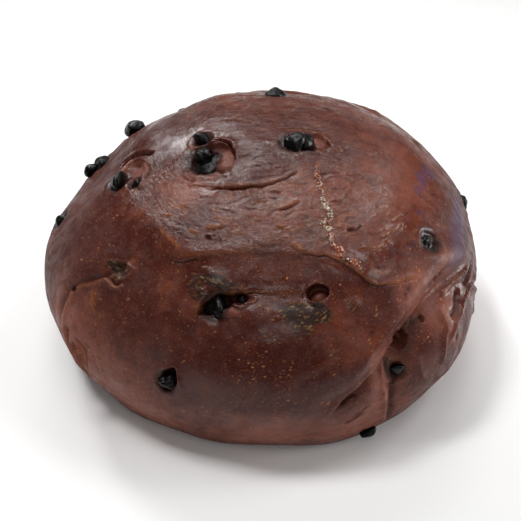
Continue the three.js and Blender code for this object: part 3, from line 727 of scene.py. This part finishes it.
drops = []
for number, place in enumerate(CHIPS):
    foot, turn = drop_placing(*place)
    rng = np.random.default_rng(100 + number)
    stretch = rng.uniform(0.84, 1.1, 3) * np.array([CHIP_WIDTH, CHIP_WIDTH, CHIP_HEIGHT]) * place[-1]
    dents = sum(depth * np.array([noise.noise(p) for p in (drop_points * often + number * shift).tolist()])
                for depth, often, shift in ((0.16, 2.0, 5.7), (0.07, 5.0, 3.1), (0.025, 14.0, 1.7)))
    points = drop_points * (1 + dents)[:, None] * stretch
    drops.append(copy_of(chip, points @ turn.T + foot))
bpy.data.objects.remove(chip)
chips = joined(drops, "chips")
bpy.ops.object.shade_smooth()
print("the chips have", len(chips.data.polygons), "faces")

# %% [markdown]
# ## Baked syrup and sugar
# A drip of syrup ran down the upper front and caramelised: amber and glossy, 1 to 2 mm wide, broken
# where it soaked in. White sugar grains stick in its middle. The drip is made of flattened drops that
# are joined and remeshed into one skin, and one sugar grain is copied about two hundred times.

# %% The drip
skin_tree = KDTree(len(finished))
for index, point in enumerate(finished):
    skin_tree.insert(point, index)
skin_tree.balance()
DRIP = [(52, 71), (40.5, 69), (39, 67), (34.5, 64), (30, 58.5), (29, 56), (29.5, 53.5), (27.5, 52),
        (24.5, 50.5), (25, 48.5), (24.5, 46.5), (24, 43), (26.5, 42), (24.5, 40.5), (27.5, 38.5), (30, 36)]
SYRUP_DETAIL = 0.16
DRY_STRETCHES = ((0.24, 0.43), (0.55, 0.6))
drip_path = smooth_path(skin(direction(*zip(*DRIP))), 64)


def on_skin(point):
    """The nearest skin vertex and its outward direction."""
    _, index, _ = skin_tree.find(Vector(point))
    return finished[index], normals[index]


def flat_drop(point, outward, radius, thickness):
    """A ball flattened against the skin."""
    bpy.ops.mesh.primitive_ico_sphere_add(subdivisions=2, radius=1)
    drop = bpy.context.object
    turn = np.array(Vector((0, 0, 1)).rotation_difference(Vector(outward)).to_matrix())
    move_vertices(drop, ((vertices_of(drop) * (radius, radius, thickness)) @ turn.T + point) * MM)
    return drop


rng = np.random.default_rng(11)
parts = []
for index, place in enumerate(drip_path):
    share = index / (len(drip_path) - 1)
    if any(low < share < high for low, high in DRY_STRETCHES):
        continue
    point, outward = on_skin(place + rng.normal(0, 0.22, 3))
    radius = rng.uniform(0.5, 1.0) * (1.25 if share > 0.7 else 0.95)
    parts.append(flat_drop(point - outward * 0.06, outward, radius, rng.uniform(0.2, 0.34)))
syrup = joined(parts, "syrup")
remesh = syrup.modifiers.new("one skin", "REMESH")
remesh.mode = "VOXEL"
remesh.voxel_size = SYRUP_DETAIL * MM
bpy.ops.object.modifier_apply(modifier=remesh.name)
bpy.ops.object.shade_smooth()
print("the drip has", len(syrup.data.polygons), "faces")

# %% The sugar
deselect_all()
bpy.ops.mesh.primitive_cube_add(size=1)
grain_piece = bpy.context.object
bpy.ops.object.mode_set(mode="EDIT")
bpy.ops.mesh.bevel(offset=0.16, segments=1, affect="EDGES")
bpy.ops.object.mode_set(mode="OBJECT")
grain_points = vertices_of(grain_piece).copy()
grains = []
SUGAR_GRAINS = 190
for _ in range(SUGAR_GRAINS):
    share = rng.choice([rng.normal(0.33, 0.07), rng.normal(0.57, 0.05), rng.uniform(0.05, 1)])
    place = drip_path[int(np.clip(share, 0, 1) * (len(drip_path) - 1))]
    point, outward = on_skin(place + rng.normal(0, 0.5, 3))
    turn = np.array(Matrix.Rotation(rng.uniform(0, 6.28), 3, Vector(rng.normal(size=3))))
    size = rng.uniform(0.16, 0.42) * rng.uniform(0.7, 1.1, 3)
    grains.append(copy_of(grain_piece, (grain_points * size) @ turn.T + point + outward * 0.14))
bpy.data.objects.remove(grain_piece)
sugar = joined(grains, "sugar")
print("the sugar has", len(sugar.data.polygons), "faces")

# %% [markdown]
# ## Materials
# Every finish is worked out from what it is. Colours are sRGB values, as a colour picker shows
# them, turned to linear by one function, and pattern scales come from sizes in millimetres.

# %% Colours and nodes
def linear(hex_colour):
    channels = [int(hex_colour[i:i + 2], 16) / 255 for i in (1, 3, 5)]
    return [c / 12.92 if c <= 0.04045 else ((c + 0.055) / 1.055) ** 2.4 for c in channels] + [1.0]


def add_node(kind, settings=None, **links):
    """Adds a node to the tree in hand. An input is given by its name, or by its number as _0 or _1, and is
    linked if its value is a socket."""
    node = tree.nodes.new(kind)
    for key, value in (settings or {}).items():
        setattr(node, key, value)
    for key, value in links.items():
        socket = node.inputs[int(key[1:]) if key[0] == "_" else key.replace("_", " ")]
        if isinstance(value, bpy.types.NodeSocket):
            tree.links.new(value, socket)
        else:
            socket.default_value = value
    return node


def per_metre(size_mm):
    """The scale of a texture whose features measure so many millimetres."""
    return 1 / (size_mm * MM)


def new_material(name):
    """A material and its empty tree, which the next nodes go into."""
    material = bpy.data.materials.new(name)
    material.use_nodes = True
    material.node_tree.nodes.clear()
    return material, material.node_tree


def finish(piece, material, **surface):
    """Closes a material with its surface and lays it on a piece."""
    shader = add_node("ShaderNodeBsdfPrincipled", **surface)
    add_node("ShaderNodeOutputMaterial", Surface=shader.outputs["BSDF"])
    piece.data.materials.clear()
    piece.data.materials.append(material)


print("skin brown is", [round(c, 3) for c in linear("#6b362a")])

# %% [markdown]
# ## The skin's finish
# The skin is thin dough with cocoa that browned under an egg glaze: glossy on top, duller on the flanks,
# paler where it is stretched and nearly black over chocolate. Its colour is laid in coats, from the
# broad brown to freckles, folds and stains, each through a mask that comes from noise or from the mesh.
# Some coats are painted light: highlights and a pale ridge reflection in the tones, pale glint points,
# golden glint streaks, shade in the deep creases and a violet-blue reflection on the right flank.

# %% Masks and patterns
def ramp(value, low, high):
    """Turns a value into a mask that rises smoothly from low to high."""
    node = add_node("ShaderNodeMapRange", {"interpolation_type": "SMOOTHSTEP"}, Value=value, From_Min=low,
                    From_Max=high)
    return node.outputs["Result"]


def calculate(operation, first, second):
    return add_node("ShaderNodeMath", {"operation": operation}, _0=first, _1=second).outputs[0]


def blend(mask, under, over):
    """Lays one colour over another through a mask."""
    mix = add_node("ShaderNodeMix", {"data_type": "RGBA"}, _0=mask)
    for index, colour in ((6, under), (7, over)):
        if isinstance(colour, str):
            mix.inputs[index].default_value = linear(colour)
        else:
            tree.links.new(colour, mix.inputs[index])
    return mix.outputs[2]


def noise_value(where, size_mm, detail=3.0, roughness=0.55, distortion=0.0):
    node = add_node("ShaderNodeTexNoise", Vector=where, Scale=per_metre(size_mm), Detail=detail,
                    Roughness=roughness, Distortion=distortion)
    return node.outputs["Fac"]


def kept_value(name):
    """A number that the mesh keeps at each vertex."""
    return add_node("ShaderNodeAttribute", {"attribute_name": name}).outputs["Fac"]


def times(first, second):
    return calculate("MULTIPLY", first, second)


def plus(first, second):
    return calculate("ADD", first, second)


def minus(first, second):
    return calculate("SUBTRACT", first, second)


def specks(place, size_mm, radius_mm):
    """One spot in each cell, of a size of its own up to the radius."""
    cells = add_node("ShaderNodeTexVoronoi", Vector=place, Scale=per_metre(size_mm))
    own = add_node("ShaderNodeSeparateColor", Color=cells.outputs["Color"]).outputs[0]
    gap = minus(times(own, radius_mm / size_mm), cells.outputs["Distance"])
    return ramp(gap, -0.03, 0.05)


print("a pattern of 2 mm has the scale", per_metre(2))

# %% Crust: enriched dough with cocoa, baked and glazed
crust_material, tree = new_material("baked cocoa crust")
where = add_node("ShaderNodeTexCoord").outputs["Object"]
round_bun = add_node("ShaderNodeAttribute", {"attribute_name": "round_skin"}).outputs["Vector"]
folded = add_node("ShaderNodeMapping", Vector=round_bun, Scale=(1, 1, 1.5)).outputs["Vector"]
dashes = add_node("ShaderNodeMapping", Vector=round_bun, Scale=(1, 1, 1.9)).outputs["Vector"]
stain_value, inner_value, seat_value = [kept_value(name) for name in ("stain", "inner", "seat")]
wrinkled_value, tone_and_painted_light_value, glaze_value = [kept_value(name) for name in ("wrinkled", "tone_and_painted_light", "glaze")]
edge_value, painted_crease_shade_value = [kept_value(name) for name in ("edge", "painted_crease_shade")]

# The skin's brown goes from a dark, cocoa-rich red-brown to a paler brown where it is thin or matt, and where the
# tones paint in highlights on the top and the upper left and a pale reflection along the right ridge.
cloud = minus(noise_value(where, 4.5, 4, 0.6), 0.5)
tone_and_painted_light_value = plus(tone_and_painted_light_value, times(cloud, 1.1))
colour = blend(ramp(tone_and_painted_light_value, -0.05, 1.1), "#451b15", "#7e4637")
warm = times(ramp(noise_value(where, 7, 4, 0.6), 0.52, 0.74),
             plus(0.3, times(ramp(tone_and_painted_light_value, 0.0, 0.5), 0.7)))
colour = blend(warm, colour, "#6b3520")
colour = blend(ramp(noise_value(folded, 5, 5, 0.65), 0.56, 0.76), colour, "#3a1a15")
# Freckles: golden blisters under 1 mm, drawn out along the bun, thick in some places.
thick = plus(0.25, times(ramp(noise_value(where, 9, 3), 0.4, 0.65), 0.6))
freckles = specks(dashes, 1.9, 0.44)
colour = blend(times(freckles, thick), colour, "#a56c3c")
colour = blend(times(specks(dashes, 1.0, 0.28), times(thick, 0.8)), colour, "#96603a")
# The wrinkled skin is full of fine pale and dark points. The pale points are painted glints of the wet glaze.
painted_glints_and_dark_points = noise_value(where, 0.5, 3, 0.7)
colour = blend(times(ramp(painted_glints_and_dark_points, 0.54, 0.72), plus(0.18, times(wrinkled_value, 0.24))), colour, "#a5806e")
colour = blend(times(ramp(painted_glints_and_dark_points, 0.48, 0.3), plus(0.32, times(wrinkled_value, 0.35))), colour, "#32150f")
# Folds: orange-brown where the thin skin stands up; where it sinks, painted shade: dark red, and near-black in the
# deepest slits.
colour = blend(times(edge_value, 0.6), colour, "#a5633a")
colour = blend(times(ramp(painted_crease_shade_value, 0.0, 0.6), 0.75), colour, "#3a130e")
colour = blend(ramp(painted_crease_shade_value, 0.6, 1.0), colour, "#120706")
# Crumb in a hollow is a redder, flat brown, and chocolate under the skin darkens it.
crumb = blend(noise_value(where, 1.5, 3), "#5a2d22", "#80493a")
colour = blend(inner_value, colour, crumb)
ragged = minus(noise_value(where, 1.6, 4, 0.65), 0.5)
stained = ramp(plus(stain_value, times(ragged, 1.3)), 0.3, 1.0)
colour = blend(times(stained, 0.88), colour, "#261813")
# Painted glints: golden-white streaks of reflected light on the ridged skin at the stains, laid in as colour.
streaks = add_node("ShaderNodeMapping", Vector=round_bun, Rotation=(0, 0.6, 0), Scale=(1, 1, 3)).outputs["Vector"]
painted_gold_glints = ramp(noise_value(streaks, 1.9, 5, 0.72), 0.53, 0.66)
colour = blend(times(times(ramp(plus(stain_value, ragged), 0.15, 0.6), painted_gold_glints), 0.6), colour, "#a07c4a")
colour = blend(times(seat_value, 0.8), colour, "#200e0b")
# Painted reflection: the violet-blue light reflected on the right flank, mixed into the base colour.
painted_blue_reflection_mask = ramp(plus(kept_value("painted_blue_reflection"), times(ragged, 2.2)), 0.35, 0.9)
colour = blend(times(painted_blue_reflection_mask, 0.5), colour, "#463452")

# The top is glazed and wet-looking, the flanks and the skirt are drier.
# Bumps: a leathery grain of about 0.5 mm, and ripples that run round the bun.
grain_bump = add_node("ShaderNodeBump", Strength=plus(0.45, times(wrinkled_value, 0.5)),
                      Distance=0.075 * MM, Height=noise_value(where, 0.6, 2, 0.6))
ripple_bump = add_node("ShaderNodeBump", Strength=plus(0.08, times(wrinkled_value, 0.6)),
                       Distance=0.8 * MM, Height=noise_value(folded, 2.4, 4, 0.6, 0.8),
                       Normal=grain_bump.outputs["Normal"])
freckle_bump = add_node("ShaderNodeBump", Strength=0.5, Distance=0.1 * MM, Height=freckles,
                        Normal=ripple_bump.outputs["Normal"])
gloss = plus(0.16, times(ramp(noise_value(where, 3, 3), 0.42, 0.62), 0.2))
gloss = plus(gloss, times(inner_value, 0.45))
gloss = plus(gloss, times(stained, 0.12))
gloss = plus(gloss, times(minus(1.0, glaze_value), 0.3))
# The glaze lies as a wet coat over the wrinkled skin, thinner in some places than in others.
wet = times(ramp(wrinkled_value, 0.35, 0.9), plus(0.35, ramp(noise_value(where, 6, 3), 0.38, 0.6)))
relief = freckle_bump.outputs["Normal"]
finish(crust, crust_material, Base_Color=colour, Roughness=gloss, Normal=relief, IOR=1.45, Specular_IOR_Level=0.3,
       Coat_Weight=times(wet, 0.4), Coat_Roughness=0.12, Coat_IOR=1.5, Coat_Normal=relief)
print("the crust's finish has", len(tree.nodes), "nodes")

# %% [markdown]
# ## The chocolate's and the syrup's finish
# Chocolate that softened and set again is nearly black, with a skin that is glossy in some places and
# rough in others, so noise drives both its gloss and its dents. Cooked sugar is smooth amber glass, and
# the grains on it are white because light scatters inside them.

# %% Chips: dark chocolate, softened in the oven
chip_material, tree = new_material("dark baking chocolate")
where = add_node("ShaderNodeTexCoord").outputs["Object"]
colour = blend(ramp(noise_value(where, 2.2, 4, 0.6), 0.45, 0.75), "#070505", "#130e0c")
bump = add_node("ShaderNodeBump", Strength=0.8, Distance=0.3 * MM,
                Height=noise_value(where, 1.1, 4, 0.6))
gloss = plus(0.06, times(noise_value(where, 1.2, 3), 0.2))
finish(chips, chip_material, Base_Color=colour, Roughness=gloss, Normal=bump.outputs["Normal"], IOR=1.5,
       Specular_IOR_Level=0.22)
print("the chips' finish has", len(tree.nodes), "nodes")

# %% Syrup: sugar cooked to amber, and sugar grains
syrup_material, tree = new_material("caramelised sugar syrup")
where = add_node("ShaderNodeTexCoord").outputs["Object"]
colour = blend(ramp(noise_value(where, 2.5, 3), 0.4, 0.65), "#7c3a1a", "#43190c")
finish(syrup, syrup_material, Base_Color=colour, Roughness=0.14, IOR=1.49)
sugar_material, tree = new_material("white sugar")
finish(sugar, sugar_material, Base_Color=linear("#cdbda6"), Roughness=0.25, IOR=1.54, Subsurface_Weight=0.3,
       Subsurface_Scale=0.3 * MM)
print("materials:", [item.name for item in bpy.data.materials])

# %% [markdown]
# ## Studio
# The bun stands on a plain white floor under soft light: softboxes above and behind, a smaller lamp high
# on the left that makes the skin glitter, and panels at the right that shine along its flank.

# %% Floor, lights and camera
deselect_all()
bpy.ops.mesh.primitive_plane_add(size=4)
floor = bpy.context.object
floor.name = "floor"
floor_material, tree = new_material("matt white board")
finish(floor, floor_material, Base_Color=(0.95, 0.95, 0.95, 1), Roughness=0.9, Specular_IOR_Level=0.1)


def area_light(name, place, target, size, power):
    """A softbox with a honeycomb, so that it lights the bun and not the whole room."""
    lamp = bpy.data.lights.new(name, "AREA")
    lamp.shape = "RECTANGLE"
    lamp.size, lamp.size_y = size
    lamp.energy = power
    lamp.spread = BEAM
    item = bpy.data.objects.new(name, lamp)
    item.location = place
    item.rotation_euler = (Vector(target) - Vector(place)).to_track_quat("-Z", "Y").to_euler()
    bpy.context.collection.objects.link(item)


BEAM = math.radians(34)
LOAF = (0, 0, 0.03)
area_light("overhead softbox", (0, 0.2, 1.4), (0, 0.1, 0), (0.7, 0.4), 0.175)
area_light("rear softbox", (0, 1.05, 1.05), (0, 0, 0), (1.0, 0.5), 0.36)
area_light("left key lamp", (-0.55, 0.99, 0.86), LOAF, (0.25, 0.45), 0.3)
area_light("left top lamp", (-0.45, 0.1, 1.3), LOAF, (0.3, 0.3), 0.3)
area_light("right top lamp", (0.75, 0.3, 1.15), LOAF, (0.4, 0.4), 0.16)
area_light("right softbox", (1.3, 0, 0.5), (0, 0, 0.1), (0.8, 0.6), 0.32)
area_light("front top lamp", (0, -0.6, 1.4), LOAF, (0.6, 0.3), 0.042)
area_light("front fill", (0, -1.5, 1.2), LOAF, (0.8, 0.4), 0.15)
area_light("right rear lamp", (0.6, 1.1, 0.8), LOAF, (0.5, 0.5), 0.036)
area_light("right low panel", (1.15, 0.25, 0.12), LOAF, (0.5, 0.25), 0.27)
world = bpy.data.worlds.new("studio")
world.use_nodes = True
world.node_tree.nodes["Background"].inputs["Color"].default_value = (0.124, 0.12, 0.114, 1)
bpy.context.scene.world = world

AIM = Vector((-0.0008, 0, 0.0217))
VIEW_ANGLE = math.radians(41.7)
CAMERA_DISTANCE = 0.3852
FOCAL_PIXELS, FRAME_PIXELS = 1308, 521
camera_data = bpy.data.cameras.new("camera")
camera_data.sensor_width = 36
camera_data.lens = 36 * FOCAL_PIXELS / FRAME_PIXELS
camera = bpy.data.objects.new("camera", camera_data)
camera.location = AIM + CAMERA_DISTANCE * Vector((0, -math.cos(VIEW_ANGLE), math.sin(VIEW_ANGLE)))
camera.rotation_euler = (math.pi / 2 - VIEW_ANGLE, 0, 0)
bpy.context.collection.objects.link(camera)
bpy.context.scene.camera = camera
bpy.context.scene.view_settings.view_transform = "Standard"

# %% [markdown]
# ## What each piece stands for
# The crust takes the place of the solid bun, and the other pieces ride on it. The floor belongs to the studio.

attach(crust, "root")
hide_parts(BREAD_NODE)
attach(chips, "root")
for piece in (syrup, sugar):
    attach(piece, "root")
